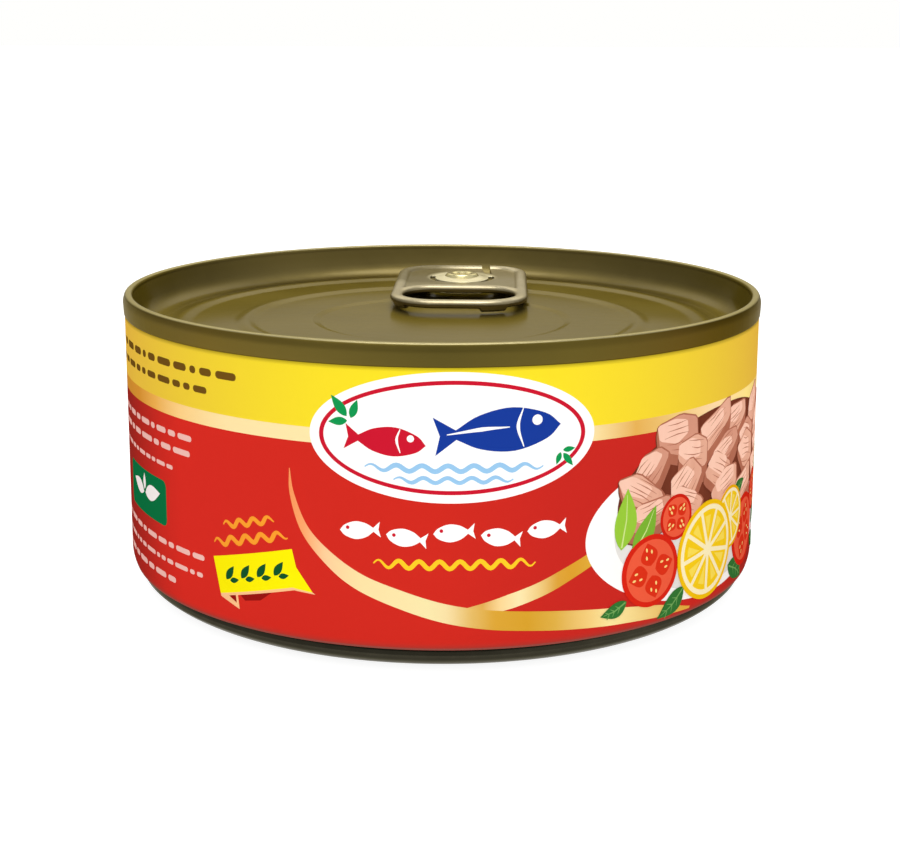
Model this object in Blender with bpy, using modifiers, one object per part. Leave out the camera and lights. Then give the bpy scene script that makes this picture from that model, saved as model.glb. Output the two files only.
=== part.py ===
"""A round drawn food can with a seamed-on easy-open lid and a riveted ring-pull tab.

The can stands upright with +Z up and its origin at the centre of the stand ring.
+Y is the side where the tab's nose points, so the finger ring lies towards -Y.
"""

from math import cos, pi, radians, sin, tan

import bpy
import bmesh
from mathutils import Vector

MM = 0.001
ROUND_STEPS = 96
RIVET_STEPS = 24
FIT_GAP = 0.30 * MM

# The drawn can: wall, rounded bottom corner, stand ring and recessed bottom panel
CAN_HEIGHT = 39.70 * MM
BODY_RADIUS = 43.45 * MM
BODY_EDGE_BREAK = 0.12 * MM
BOTTOM_CORNER_RADIUS = 5.00 * MM
STAND_RING_WIDTH = 1.10 * MM
BOTTOM_PANEL_RISE = 1.00 * MM
BOTTOM_BEAD_RADIUS = 27.00 * MM
BOTTOM_BEAD_WIDTH = 3.00 * MM
BOTTOM_BEAD_HEIGHT = 0.50 * MM

# The double seam that rolls the lid onto the wall
SEAM_RADIUS = 43.65 * MM
SEAM_HEIGHT = 2.80 * MM
SEAM_THICKNESS = 1.30 * MM
SEAM_LIP_RADIUS = 0.25 * MM

# The lid: sheet, chuck wall, countersink groove and beaded panel
SHEET = 0.25 * MM
PANEL_DEPTH = 4.80 * MM
CHUCK_FOOT_RADIUS = 40.90 * MM
CHUCK_FOOT_RISE = 0.20 * MM
GROOVE_RADIUS = 40.10 * MM
GROOVE_DEPTH = 0.50 * MM
PANEL_RADIUS = 39.20 * MM
OUTER_BEAD_RADIUS = 36.30 * MM
OUTER_BEAD_WIDTH = 2.20 * MM
OUTER_BEAD_HEIGHT = 0.45 * MM
INNER_BEAD_RADIUS = 27.30 * MM
INNER_BEAD_WIDTH = 1.80 * MM
INNER_BEAD_HEIGHT = 0.35 * MM
CENTRE_STEP_RADIUS = 17.50 * MM
CENTRE_STEP_WIDTH = 0.80 * MM
CENTRE_STEP_DEPTH = 0.25 * MM

# The ring-pull tab, laid out from its rivet: -Y runs to the finger ring, +Y to the nose
RIVET_PLACE = (3.10 * MM, 26.50 * MM)
TAB_SWIVEL = radians(-2.40)
TAB_LIFT = radians(1.40)
TAB_FRONT = 22.20 * MM
TAB_NOSE = 9.20 * MM
TAB_HALF_WIDTH = 10.10 * MM
TAB_NOSE_HALF_WIDTH = 9.60 * MM
TAB_FRONT_CORNER = 6.80 * MM
TAB_NOSE_CORNER = 5.60 * MM
TAB_CURL_WIDTH = 1.90 * MM
TAB_THICKNESS = 1.30 * MM
TAB_EDGE_RADIUS = 0.58 * MM
TAB_FRONT_CLEARANCE = 0.40 * MM
HOLE_FRONT = 19.60 * MM
HOLE_BACK = 9.90 * MM
HOLE_CORNER = 4.60 * MM
WEB_THICKNESS = 0.50 * MM
WEB_RECESS = 0.50 * MM
WEB_CORNER = 3.60 * MM
LANCE_RADIUS = 4.20 * MM
LANCE_WIDTH = 0.80 * MM
LANCE_HALF_ANGLE = radians(105)
LANCE_STEPS = 12

# The rivet, drawn up out of the lid's own sheet
RIVET_BOSS_RADIUS = 5.40 * MM
RIVET_BOSS_TOP_RADIUS = 3.40 * MM
RIVET_SHANK_RADIUS = 1.60 * MM
RIVET_HEAD_RADIUS = 2.70 * MM
RIVET_HEAD_THICKNESS = 0.55 * MM
RIVET_CROWN_RADIUS = 2.00 * MM

# Heights that follow from the sizes above
PANEL_TOP = CAN_HEIGHT - PANEL_DEPTH
SEAM_FOOT = CAN_HEIGHT - SEAM_HEIGHT
CROWN_RADIUS = SEAM_THICKNESS / 2
CHUCK_HEIGHT = CAN_HEIGHT - CROWN_RADIUS - PANEL_TOP
CHUCK_SLOPE = (SEAM_RADIUS - SEAM_THICKNESS - CHUCK_FOOT_RADIUS) / CHUCK_HEIGHT
GROOVE_FLOOR = PANEL_TOP - GROOVE_DEPTH
FILL_TOP = GROOVE_FLOOR - SHEET - FIT_GAP
TAB_FLOOR_AT_RIVET = PANEL_TOP + TAB_FRONT_CLEARANCE + TAB_FRONT * tan(TAB_LIFT)
WEB_TOP_AT_RIVET = TAB_FLOOR_AT_RIVET + TAB_THICKNESS - WEB_RECESS
WEB_FLOOR_AT_RIVET = WEB_TOP_AT_RIVET - WEB_THICKNESS


def clear_scene():
    for thing in list(bpy.data.objects):
        bpy.data.objects.remove(thing, do_unlink=True)


def new_collection(name):
    collection = bpy.data.collections.new(name)
    bpy.context.scene.collection.children.link(collection)
    return collection


def new_material(name, colour, roughness, metallic):
    material = bpy.data.materials.new(name)
    material.use_nodes = True
    shader = material.node_tree.nodes["Principled BSDF"]
    shader.inputs["Base Color"].default_value = (*colour, 1.0)
    shader.inputs["Roughness"].default_value = roughness
    shader.inputs["Metallic"].default_value = metallic
    return material


def new_object(name, data, collection):
    thing = bpy.data.objects.new(name, data)
    collection.objects.link(thing)
    return thing


def arc(centre_r, centre_z, radius, start, end, steps):
    """Points on an arc of a profile, its angles in degrees from the outward direction."""
    angles = [radians(start + (end - start) * i / steps) for i in range(steps + 1)]
    return [(centre_r + radius * cos(a), centre_z + radius * sin(a)) for a in angles]


def bead(radius, width, height, level, steps=4):
    """A rounded ridge of the sheet, from its outer foot to its inner one."""
    points = []
    for i in range(steps + 1):
        across = i / steps
        rise = height * (1 - cos(2 * pi * across)) / 2
        points.append((radius + width / 2 - width * across, level + rise))
    return points


def turned(name, profile, collection, steps=ROUND_STEPS):
    """A closed body from a profile that starts and ends on the axis and runs down its outer side."""
    mesh = bpy.data.meshes.new(name)
    outline = bmesh.new()
    corners = [outline.verts.new((r, 0, z)) for r, z in profile]
    for first, second in zip(corners, corners[1:]):
        outline.edges.new((first, second))
    outline.to_mesh(mesh)
    outline.free()
    body = new_object(name, mesh, collection)
    screw = body.modifiers.new("turn", "SCREW")
    screw.axis = "Z"
    screw.angle = 2 * pi
    screw.steps = steps
    screw.render_steps = steps
    screw.use_merge_vertices = True
    screw.merge_threshold = 0.001 * MM
    screw.use_smooth_shade = True
    return body


def rounded(corners, radii, steps):
    """The corners of a flat outline, each replaced by an arc that touches both its sides."""
    points = []
    for i, (corner, radius) in enumerate(zip(corners, radii)):
        here = Vector(corner)
        back = (Vector(corners[i - 1]) - here).normalized()
        ahead = (Vector(corners[(i + 1) % len(corners)]) - here).normalized()
        half = back.angle(ahead) / 2
        centre = here + (back + ahead).normalized() * radius / sin(half)
        start = here + back * radius / tan(half) - centre
        end = here + ahead * radius / tan(half) - centre
        for k in range(steps + 1):
            swept = start.slerp(end, k / steps)
            points.append(centre + swept.normalized() * radius)
    return points


def oblong(left, right, front, back, radius, steps):
    """A rectangle with four equal round corners."""
    corners = [(left, front), (right, front), (right, back), (left, back)]
    return rounded(corners, [radius] * 4, steps)


def circle(radius, steps):
    angles = [2 * pi * k / steps for k in range(steps)]
    return [Vector((radius * cos(a), radius * sin(a))) for a in angles]


def flat_solid(name, outlines, thickness, rounding, collection):
    """A plate with its middle plane at height 0, from outlines of which the later ones are holes."""
    curve = bpy.data.curves.new(name, "CURVE")
    curve.dimensions = "2D"
    curve.fill_mode = "BOTH"
    curve.extrude = thickness / 2 - rounding
    curve.bevel_depth = rounding
    curve.bevel_resolution = 2
    curve.offset = -rounding
    for outline in outlines:
        spline = curve.splines.new("POLY")
        spline.points.add(len(outline) - 1)
        for point, place in zip(spline.points, outline):
            point.co = (place.x, place.y, 0, 1)
        spline.use_cyclic_u = True
    drawn = new_object(name, curve, collection)
    bpy.context.view_layer.update()
    seen = drawn.evaluated_get(bpy.context.evaluated_depsgraph_get())
    mesh = bpy.data.meshes.new_from_object(seen)
    bpy.data.objects.remove(drawn)
    welded = bmesh.new()
    welded.from_mesh(mesh)
    bmesh.ops.remove_doubles(welded, verts=welded.verts, dist=0.001 * MM)
    bmesh.ops.recalc_face_normals(welded, faces=welded.faces)
    welded.to_mesh(mesh)
    welded.free()
    return new_object(name, mesh, collection)


def combine(thing, other, operation):
    boolean = thing.modifiers.new(other.name, "BOOLEAN")
    boolean.operation = operation
    boolean.solver = "EXACT"
    boolean.object = other
    other.hide_render = True
    other.display_type = "WIRE"


def finish(thing, material):
    thing.data.materials.clear()
    thing.data.materials.append(material)
    thing.data.shade_smooth()
    thing.data.set_sharp_from_angle(angle=radians(35))


def build_body(parts):
    """The can and its contents as one solid, up to just under the lid's sheet."""
    wall_top = SEAM_FOOT - FIT_GAP
    clear_of_lid = SHEET + 2 * FIT_GAP
    fill_radius = CHUCK_FOOT_RADIUS + clear_of_lid
    profile = [(0, FILL_TOP), (fill_radius, FILL_TOP)]
    profile.append((fill_radius + CHUCK_SLOPE * (wall_top - PANEL_TOP), wall_top))
    profile += [(BODY_RADIUS - BODY_EDGE_BREAK, wall_top), (BODY_RADIUS, wall_top - BODY_EDGE_BREAK)]
    corner_centre = BODY_RADIUS - BOTTOM_CORNER_RADIUS
    profile += arc(corner_centre, BOTTOM_CORNER_RADIUS, BOTTOM_CORNER_RADIUS, 0, -90, 9)
    ring_inside = corner_centre - STAND_RING_WIDTH
    profile += arc(ring_inside, BOTTOM_PANEL_RISE, BOTTOM_PANEL_RISE, -90, -180, 3)
    profile += bead(BOTTOM_BEAD_RADIUS, BOTTOM_BEAD_WIDTH, BOTTOM_BEAD_HEIGHT, BOTTOM_PANEL_RISE)
    profile.append((0, BOTTOM_PANEL_RISE))
    return turned("can_body", profile, parts)


def build_rivet(cutters):
    """The hollow boss, shank and flattened head that hold the tab."""
    boss_top = WEB_FLOOR_AT_RIVET - FIT_GAP
    boss_foot = PANEL_TOP - SHEET / 2
    head_foot = WEB_TOP_AT_RIVET + FIT_GAP
    head_top = head_foot + RIVET_HEAD_THICKNESS
    profile = [(0, head_top), (RIVET_CROWN_RADIUS, head_top)]
    profile.append((RIVET_HEAD_RADIUS, head_foot + RIVET_HEAD_THICKNESS / 2))
    profile += [(RIVET_HEAD_RADIUS, head_foot), (RIVET_SHANK_RADIUS, head_foot)]
    profile += [(RIVET_SHANK_RADIUS, boss_top), (RIVET_BOSS_TOP_RADIUS, boss_top)]
    profile += [(RIVET_BOSS_RADIUS, boss_foot), (0, boss_foot)]
    rivet = turned("rivet", profile, cutters, RIVET_STEPS)
    rivet.location = (*RIVET_PLACE, 0)
    return rivet


def build_lid(parts, cutters):
    """The easy-open lid in one sheet, with its seam, chuck wall, groove, beads and rivet."""
    crown_centre = SEAM_RADIUS - CROWN_RADIUS
    step_inside = CENTRE_STEP_RADIUS - CENTRE_STEP_WIDTH / 2
    step_outside = CENTRE_STEP_RADIUS + CENTRE_STEP_WIDTH / 2
    top = [(0, PANEL_TOP - CENTRE_STEP_DEPTH), (step_inside, PANEL_TOP - CENTRE_STEP_DEPTH)]
    top.append((step_outside, PANEL_TOP))
    top += reversed(bead(INNER_BEAD_RADIUS, INNER_BEAD_WIDTH, INNER_BEAD_HEIGHT, PANEL_TOP))
    top += reversed(bead(OUTER_BEAD_RADIUS, OUTER_BEAD_WIDTH, OUTER_BEAD_HEIGHT, PANEL_TOP))
    top.append((PANEL_RADIUS, PANEL_TOP))
    top += arc(GROOVE_RADIUS, GROOVE_FLOOR + GROOVE_DEPTH, GROOVE_DEPTH, 215, 325, 4)
    top.append((CHUCK_FOOT_RADIUS, PANEL_TOP + CHUCK_FOOT_RISE))
    top += arc(crown_centre, CAN_HEIGHT - CROWN_RADIUS, CROWN_RADIUS, 180, 0, 6)
    lip_centre = SEAM_RADIUS - SEAM_LIP_RADIUS
    under = arc(lip_centre, SEAM_FOOT + SEAM_LIP_RADIUS, SEAM_LIP_RADIUS, 0, -90, 2)
    under.append((CHUCK_FOOT_RADIUS + SHEET + CHUCK_SLOPE * (SEAM_FOOT - PANEL_TOP), SEAM_FOOT))
    under.append((CHUCK_FOOT_RADIUS + SHEET, PANEL_TOP))
    under += [(GROOVE_RADIUS + GROOVE_DEPTH, GROOVE_FLOOR - SHEET), (PANEL_RADIUS, GROOVE_FLOOR - SHEET)]
    under.append((PANEL_RADIUS - 2 * SHEET, PANEL_TOP - SHEET))
    under += [(step_outside, PANEL_TOP - SHEET), (step_inside, PANEL_TOP - CENTRE_STEP_DEPTH - SHEET)]
    under.append((0, PANEL_TOP - CENTRE_STEP_DEPTH - SHEET))
    lid = turned("lid", top + under, parts)
    combine(lid, build_rivet(cutters), "UNION")
    return lid


def tab_outline():
    """The outside of the tab: wide round shoulders at the finger ring, a slightly narrower nose."""
    corners = [(-TAB_HALF_WIDTH, -TAB_FRONT), (TAB_HALF_WIDTH, -TAB_FRONT)]
    corners += [(TAB_NOSE_HALF_WIDTH, TAB_NOSE), (-TAB_NOSE_HALF_WIDTH, TAB_NOSE)]
    radii = [TAB_FRONT_CORNER, TAB_FRONT_CORNER, TAB_NOSE_CORNER, TAB_NOSE_CORNER]
    return rounded(corners, radii, 8)


def lance_outline():
    """The curved slit that frees a tongue of the web round the rivet, open towards the nose."""
    slit = []
    for edge, way in ((LANCE_RADIUS + LANCE_WIDTH, 1), (LANCE_RADIUS, -1)):
        for k in range(LANCE_STEPS + 1):
            angle = -pi / 2 + way * LANCE_HALF_ANGLE * (2 * k / LANCE_STEPS - 1)
            slit.append(Vector((edge * cos(angle), edge * sin(angle))))
    return slit


def build_tab(parts, cutters):
    """The steel tab: curled rim, open finger ring and a thinner recessed web held by the rivet."""
    ring_side = TAB_HALF_WIDTH - TAB_CURL_WIDTH
    finger_hole = oblong(-ring_side, ring_side, -HOLE_FRONT, -HOLE_BACK, HOLE_CORNER, 6)
    tab = flat_solid("pull_tab", [tab_outline(), finger_hole], TAB_THICKNESS, TAB_EDGE_RADIUS, parts)

    web_side = TAB_NOSE_HALF_WIDTH - TAB_CURL_WIDTH
    web_front = TAB_CURL_WIDTH - HOLE_BACK
    web_back = TAB_NOSE - TAB_CURL_WIDTH
    web = oblong(-web_side, web_side, web_front, web_back, WEB_CORNER, 4)
    web_top = TAB_THICKNESS / 2 - WEB_RECESS
    above = flat_solid("web_recess_above", [web], TAB_THICKNESS, 0, cutters)
    above.location.z = web_top + TAB_THICKNESS / 2
    below = flat_solid("web_recess_below", [web], TAB_THICKNESS, 0, cutters)
    below.location.z = web_top - WEB_THICKNESS - TAB_THICKNESS / 2
    shank_hole = circle(RIVET_SHANK_RADIUS + FIT_GAP, RIVET_STEPS)
    rivet_hole = flat_solid("rivet_hole", [shank_hole], 2 * TAB_THICKNESS, 0, cutters)
    lance_slot = flat_solid("lance_slot", [lance_outline()], 2 * TAB_THICKNESS, 0, cutters)

    place = bpy.data.objects.new("tab_place", None)
    parts.objects.link(place)
    place.location = (*RIVET_PLACE, TAB_FLOOR_AT_RIVET + TAB_THICKNESS / 2)
    place.rotation_euler = (TAB_LIFT, 0, TAB_SWIVEL)
    tab.parent = place
    for cutter in (above, below, rivet_hole, lance_slot):
        cutter.parent = place
        combine(tab, cutter, "DIFFERENCE")
    return tab


clear_scene()
can = new_collection("food_can")
helpers = new_collection("cutters")
helpers.hide_render = True
printed_tinplate = new_material("printed_tinplate", (0.66, 0.024, 0.016), 0.30, 0.0)
lacquered_steel = new_material("lacquered_steel", (0.20, 0.16, 0.06), 0.30, 0.9)
tab_steel = new_material("tab_steel", (0.40, 0.36, 0.27), 0.28, 0.95)
finish(build_body(can), printed_tinplate)
finish(build_lid(can, helpers), lacquered_steel)
finish(build_tab(can, helpers), tab_steel)
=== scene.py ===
"""A shut food can with a ring-pull lid, standing on a pale floor: its finishes, print and fine forms."""

from math import ceil, cos, hypot, pi, radians, sin, tan
from random import Random

import bpy
from mathutils import Matrix, Vector


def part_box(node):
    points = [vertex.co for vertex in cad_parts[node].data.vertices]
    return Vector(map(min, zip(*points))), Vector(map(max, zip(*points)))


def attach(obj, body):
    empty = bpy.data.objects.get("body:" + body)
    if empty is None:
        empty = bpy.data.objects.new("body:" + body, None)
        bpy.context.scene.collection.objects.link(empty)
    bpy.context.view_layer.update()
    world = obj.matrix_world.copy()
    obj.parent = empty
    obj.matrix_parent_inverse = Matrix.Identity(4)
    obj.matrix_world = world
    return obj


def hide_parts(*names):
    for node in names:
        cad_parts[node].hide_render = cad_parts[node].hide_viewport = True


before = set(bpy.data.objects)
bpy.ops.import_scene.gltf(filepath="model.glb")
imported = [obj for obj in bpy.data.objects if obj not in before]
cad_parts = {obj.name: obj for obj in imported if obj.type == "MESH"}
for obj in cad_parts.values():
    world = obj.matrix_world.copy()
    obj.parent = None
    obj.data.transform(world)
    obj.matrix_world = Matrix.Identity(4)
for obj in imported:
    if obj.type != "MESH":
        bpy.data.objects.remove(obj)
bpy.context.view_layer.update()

# The drawn can
# One cup of tinplate with no side seam: a straight wall, a rounded bottom corner, a stand ring
# and a recessed bottom panel. It is drawn in two strokes from a printed and varnished sheet.
MM = 0.001
WELD = 0.0005 * MM
ROUND_STEPS = 256
BEND_STEP = radians(12)
SHARP_EDGE = 35
WALL_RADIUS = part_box("can_body")[1].x / MM
WALL_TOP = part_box("can_body")[1].z / MM
CORNER_RADIUS = 5.0
CORNER_STEP = 3
MARGIN_TURN = 18
PRINT_TURN = 21
PRINT_DEPTH = 0.6
RED_TOP = 27.55
GOLD_TOP = 29.35
FILL_TOP = 33.85
FILL_RADIUS = 41.8
TUCK = 0.32
STAND_INSIDE = 37.45
BOTTOM_RISE = 1.0
BOTTOM_BEAD = 27.0
BOTTOM_BEAD_HALF = 1.5
BOTTOM_BEAD_RISE = 0.6
BOTTOM_STEP = 14.0
BOTTOM_STEP_RISE = 0.35
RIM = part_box("lid")[1].z / MM
SEAM_FOOT = RIM - 2.8


def bent(corners):
    """A profile whose corners (radius, height, bend) are rounded by arcs of short edges."""
    places = []
    for i, (r, z, bend) in enumerate(corners):
        here = Vector((r, z))
        if not bend or i in (0, len(corners) - 1):
            places.append(here)
            continue
        back = (Vector(corners[i - 1][:2]) - here).normalized()
        ahead = (Vector(corners[i + 1][:2]) - here).normalized()
        half = back.angle(ahead) / 2
        centre = here + (back + ahead).normalized() * bend / sin(half)
        first = here + back * bend / tan(half) - centre
        last = here + ahead * bend / tan(half) - centre
        steps = max(2, ceil((pi - 2 * half) / BEND_STEP))
        arc = [first.slerp(last, k / steps).normalized() * bend for k in range(steps + 1)]
        places += [centre + spoke for spoke in arc]
    return places


def corner_place(turn, inset=0.0):
    """A place on the can's rounded bottom corner, turned down from the wall by so many degrees."""
    reach = CORNER_RADIUS - inset
    radius = WALL_RADIUS - CORNER_RADIUS + reach * cos(radians(turn))
    return radius, CORNER_RADIUS - reach * sin(radians(turn))


def turned(name, places, steps=ROUND_STEPS):
    """A body of revolution: one corner is pulled along the profile, and the line is spun about +Z."""
    bpy.ops.object.select_all(action="DESELECT")
    first = places[0]
    bpy.ops.mesh.primitive_plane_add(size=MM, location=(first[0] * MM, 0, first[1] * MM))
    piece = bpy.context.object
    piece.name = name
    bpy.ops.object.mode_set(mode="EDIT")
    bpy.ops.mesh.merge(type="CENTER")
    for here, there in zip(places, places[1:]):
        step = ((there[0] - here[0]) * MM, 0, (there[1] - here[1]) * MM)
        bpy.ops.mesh.extrude_vertices_move(TRANSFORM_OT_translate={"value": step})
    bpy.ops.mesh.select_all(action="SELECT")
    bpy.ops.mesh.spin(steps=steps, angle=2 * pi, center=(0, 0, 0), axis=(0, 0, 1))
    bpy.ops.mesh.select_all(action="SELECT")
    bpy.ops.mesh.remove_doubles(threshold=WELD)
    bpy.ops.mesh.normals_make_consistent(inside=False)
    bpy.ops.object.mode_set(mode="OBJECT")
    settle(piece)
    return piece


def settle(piece, sharp=SHARP_EDGE):
    """Leaves the object at the origin with its place in its mesh, shaded smooth up to the sharp angle."""
    bpy.ops.object.select_all(action="DESELECT")
    bpy.context.view_layer.objects.active = piece
    piece.select_set(True)
    bpy.ops.object.transform_apply()
    bpy.ops.object.shade_smooth_by_angle(angle=radians(sharp))


class Reading:
    """A socket of a finish, with arithmetic that adds Math nodes."""

    def __init__(self, finish, socket):
        self.finish = finish
        self.socket = socket

    def maths(self, operation, *values):
        settings = {"operation": operation}
        return self.finish.node("ShaderNodeMath", settings, dict(enumerate(values)))

    def __add__(self, other):
        return self.maths("ADD", self, other)

    def __sub__(self, other):
        return self.maths("SUBTRACT", self, other)

    def __rsub__(self, other):
        return self.maths("SUBTRACT", other, self)

    def __mul__(self, other):
        return self.maths("MULTIPLY", self, other)

    def __truediv__(self, other):
        return self.maths("DIVIDE", self, other)

    def __pow__(self, other):
        return self.maths("POWER", self, other)

    def __mod__(self, other):
        return self.maths("FLOORED_MODULO", self, other)

    __radd__ = __add__
    __rmul__ = __mul__

    def held(self):
        """The value kept between 0 and 1."""
        return self.maths("MAXIMUM", self.maths("MINIMUM", self, 1), 0)

    def rise(self, start, end):
        """0 up to the start, 1 from the end on, and evenly between."""
        return ((self - start) * (1 / (end - start))).held()


class Graph:
    """The nodes of one finish, or of the sky."""

    def __init__(self, tree):
        self.tree = tree

    def node(self, kind, settings=None, sockets=None, output=0):
        """Any node: its settings are set first, then its sockets take values or links."""
        node = self.tree.nodes.new(kind)
        for name, value in (settings or {}).items():
            if name == "stops":
                self.set_stops(node.color_ramp, value)
            else:
                setattr(node, name, value)
        for name, value in (sockets or {}).items():
            self.feed(node.inputs[name], value)
        return Reading(self, node.outputs[output])

    def set_stops(self, ramp, stops):
        while len(ramp.elements) < len(stops):
            ramp.elements.new(1)
        for element, (place, colour) in zip(ramp.elements, stops):
            element.position = place
            element.color = colour

    def feed(self, socket, value):
        if isinstance(value, Reading):
            self.tree.links.new(value.socket, socket)
        else:
            socket.default_value = value

    def mixed(self, factor, first, second):
        """Two colours mixed, by the Mix node's colour sockets."""
        settings = {"data_type": "RGBA", "clamp_factor": True}
        return self.node("ShaderNodeMix", settings, {0: factor, 6: first, 7: second}, 2)

    def ramp(self, value, stops):
        return self.node("ShaderNodeValToRGB", {"stops": stops}, {0: value})


class Finish(Graph):
    """One material: a Principled shader and the nodes that feed it."""

    def __init__(self, name, **constants):
        self.material = bpy.data.materials.new(name)
        self.material.use_nodes = True
        super().__init__(self.material.node_tree)
        self.shader = self.tree.nodes["Principled BSDF"]
        for socket, value in constants.items():
            self.shader.inputs[socket.replace("_", " ")].default_value = value

    def varies(self, **sockets):
        for name, value in sockets.items():
            self.feed(self.shader.inputs[name.replace("_", " ")], value)

    def place(self, axis):
        """One coordinate of the surface point, in millimetres."""
        point = self.node("ShaderNodeTexCoord", output="Object")
        return self.node("ShaderNodeSeparateXYZ", None, {0: point}, axis) * (1 / MM)

    def round_the_wall(self):
        """Runs from 0 at the can's left side through 0.5 at the front to 1 at its right, and again behind."""
        across = self.place("X")
        turn = across.maths("ARCTAN2", across, self.place("Y") * -1)
        return (turn / pi + 0.5) % 1

    def mottle(self, scale, detail=3, stretch=(1, 1, 1), turn=0.0):
        """Smooth noise from 0 to 1 with grains of about 1/scale metres, stretched and tilted."""
        point = self.node("ShaderNodeTexCoord", output="Object")
        sockets = {"Vector": point, "Scale": stretch, "Rotation": (turn, turn, turn)}
        drawn = self.node("ShaderNodeMapping", {"vector_type": "POINT"}, sockets)
        return self.node("ShaderNodeTexNoise", None, {"Vector": drawn, "Scale": scale, "Detail": detail})

    def orange_peel(self):
        """The faint waviness of stoved varnish."""
        return self.bump(self.mottle(900, 2), 0.01)

    def bump(self, height, distance, under=None):
        """Relief of so many millimetres, on top of another bump where one is given."""
        sockets = {"Height": height, "Distance": distance * MM}
        if under:
            sockets["Normal"] = under
        return self.node("ShaderNodeBump", None, sockets)


def ink(red, green, blue):
    """A print colour from its 0 to 255 values, as the shader's linear colour."""
    shares = [value / 255 for value in (red, green, blue)]
    return (*[s / 12.92 if s <= 0.04045 else ((s + 0.055) / 1.055) ** 2.4 for s in shares], 1)


def ink_stops(*stops):
    """A ramp's stops from rows of (place, red, green, blue)."""
    return [(place, ink(*colour)) for place, *colour in stops]


VARNISH = {"Roughness": 0.4, "Specular_IOR_Level": 0.0}
SPECK_SCALE = 2600
SEAM_SHADOW = 0.5


def printed_field(name, middle, side):
    """A varnished field of one colour, with painted shade towards the can's sides and a painted shadow under
    the seam.
    """
    finish = Finish(name, **VARNISH)
    across = finish.place("X") * (1 / WALL_RADIUS)
    # Painted shade: the side colour takes over towards the can's left and right.
    colour = finish.mixed(across * across, ink(*middle), ink(*side))
    # Painted shadow of the seam on the wall just under it.
    shaded = finish.place("Z").rise(SEAM_FOOT - SEAM_SHADOW, SEAM_FOOT)
    colour = finish.mixed(shaded * 0.6, colour, ink(112, 96, 22))
    colour = finish.mixed(finish.mottle(SPECK_SCALE, 2) * 0.04, colour, ink(*side))
    finish.varies(Base_Color=colour, Normal=finish.orange_peel())
    return finish.material


def red_ground(name):
    """The red ground, with painted shade that deepens it right of each front, towards the can's sides and at
    its foot.
    """
    finish = Finish(name, **VARNISH)
    # Painted shade round the wall: deepest at the can's sides and a little deeper right of each front.
    colour = finish.ramp(finish.round_the_wall(), ink_stops(
        (0.0, 122, 34, 28), (0.11, 143, 36, 30), (0.145, 161, 36, 29), (0.17, 173, 38, 31),
        (0.2, 192, 40, 32), (0.235, 205, 42, 33), (0.5, 203, 42, 32), (0.6, 194, 40, 33),
        (0.765, 190, 39, 32), (0.83, 173, 38, 31), (0.89, 143, 36, 30), (1.0, 122, 34, 28),
    ))
    colour = finish.mixed(finish.mottle(SPECK_SCALE, 2) * 0.05, colour, ink(170, 32, 26))
    # Painted shade, in a greyer red, where the wall starts to turn under at the foot.
    foot_shade_top = CORNER_RADIUS - 0.6
    foot = finish.place("Z").rise(foot_shade_top, foot_shade_top - 1 / 0.9)
    colour = finish.mixed(foot * foot * 0.9, colour, ink(138, 60, 52))
    finish.varies(Base_Color=colour, Normal=finish.orange_peel())
    return finish.material


def printed_gold(name, stops):
    """Printed gold that runs between cream, orange and deep gold round the wall."""
    finish = Finish(name, **VARNISH)
    finish.varies(Base_Color=finish.ramp(finish.round_the_wall(), stops), Normal=finish.orange_peel())
    return finish.material


def bare_steel(name):
    """Lacquered tinplate with no print, as round the can's foot, darkened throughout by painted shade and
    more so towards the bottom.
    """
    tint = (0.66, 0.64, 0.57, 1)
    finish = Finish(name, Metallic=1.0, Coat_Weight=0.04, Coat_Roughness=0.15, Specular_Tint=tint)
    worn = finish.mottle(420, 4)
    colour = finish.mixed(worn, ink(68, 65, 53), ink(49, 47, 36))
    # Painted shadow: darker from the stand ring down to the floor.
    painted_foot_shadow = finish.place("Z").rise(2.7, 1.7)
    colour = finish.mixed(painted_foot_shadow * 0.45, colour, ink(36, 34, 25))
    rough = worn * 0.1 + 0.2
    drawn_lines = finish.bump(finish.mottle(1500, 3, (1, 1, 0.15)), 0.01)
    finish.varies(Base_Color=colour, Roughness=rough, Normal=drawn_lines)
    return finish.material


PRINT_FOOT = corner_place(PRINT_TURN)[1]
MARGIN_TOP = corner_place(MARGIN_TURN)[1]
BOTTOM_PANEL = BOTTOM_RISE + BOTTOM_STEP_RISE
can_corners = [(0, FILL_TOP, 0), (FILL_RADIUS, FILL_TOP, 0), (FILL_RADIUS + 0.5, WALL_TOP, 0)]
can_corners += [(FILL_RADIUS + 0.8, WALL_TOP + TUCK, 0), (WALL_RADIUS, WALL_TOP + TUCK, 0)]
can_corners += [(WALL_RADIUS, GOLD_TOP, 0), (WALL_RADIUS, RED_TOP, 0)]
can_corners += [(*corner_place(turn), 0) for turn in range(0, PRINT_TURN + 1, CORNER_STEP)]
crease = ((22, 0.12), (24, 0.5), (27, 0.95), (30.5, 1.05), (33.5, 0.72), (36, 0.3), (39, 0.06))
can_corners += [(*corner_place(turn, inset), 0) for turn, inset in crease]
can_corners += [(*corner_place(turn), 0) for turn in range(42, 91, 6)]
can_corners += [(STAND_INSIDE, 0, 0.9), (STAND_INSIDE - 0.4, BOTTOM_RISE, 0.6)]
can_corners += [(BOTTOM_BEAD + BOTTOM_BEAD_HALF, BOTTOM_RISE, 0.9)]
can_corners += [(BOTTOM_BEAD, BOTTOM_RISE + BOTTOM_BEAD_RISE, 0.9)]
can_corners += [(BOTTOM_BEAD - BOTTOM_BEAD_HALF, BOTTOM_RISE, 0.9)]
can_corners += [(BOTTOM_STEP, BOTTOM_RISE, 0.8), (BOTTOM_STEP - 0.8, BOTTOM_PANEL, 0.8), (0, BOTTOM_PANEL, 0)]
can = turned("drawn_can", bent(can_corners))
RED, GOLD, YELLOW, BARE, MARGIN = range(5)
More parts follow.
